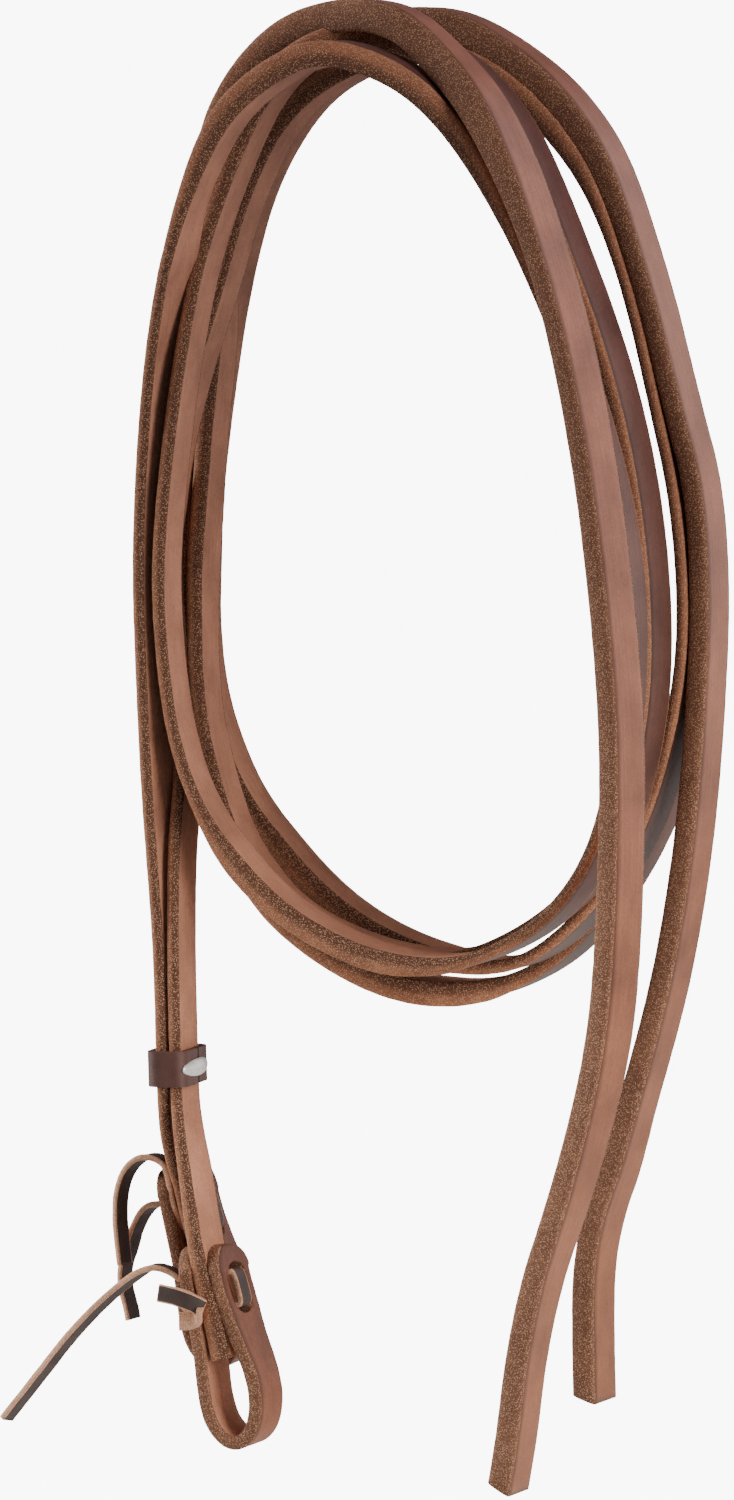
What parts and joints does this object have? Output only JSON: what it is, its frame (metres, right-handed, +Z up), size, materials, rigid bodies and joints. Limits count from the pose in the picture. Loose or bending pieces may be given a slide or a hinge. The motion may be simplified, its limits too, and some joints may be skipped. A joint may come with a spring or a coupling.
{
  "type": "split reins",
  "caption": "Pair of flat leather split reins hung as a loose coil, with laced bit loops and a sliding keeper.",
  "frame": {"origin": "under the top of the coil, where the peg that carries it lies", "axes": "+Z up along the hanging coil, +X to the right of the pictured side, +Y away from it, along every strap's width"},
  "size_m": [0.1987, 0.0863, 0.4085],
  "materials": {
    "rein_leather": "oiled harness leather, smooth grain side, napped flesh side, raw cut edges",
    "loop_leather": "oiled harness leather, smooth grain side, raw cut edges",
    "lace_leather": "dark latigo lace with pale raw edges",
    "keeper_leather": "dark smooth leather",
    "staple_metal": "bright nickel plate"
  },
  "bodies": {
    "reins": {"rein_near": "rein_leather", "rein_far": "rein_leather", "water_strap_near": "loop_leather", "water_strap_far": "loop_leather", "tie_lace_near": "lace_leather", "tie_lace_far": "lace_leather"},
    "keeper": {"keeper_band": "keeper_leather", "keeper_staple": "staple_metal"}
  },
  "joints": [
    {"name": "keeper_slide", "type": "slide", "parent": "reins", "child": "keeper", "axis": [-0.0297, 0, 0.9996], "range_m": [-0.002, 0.01]}
  ]
}
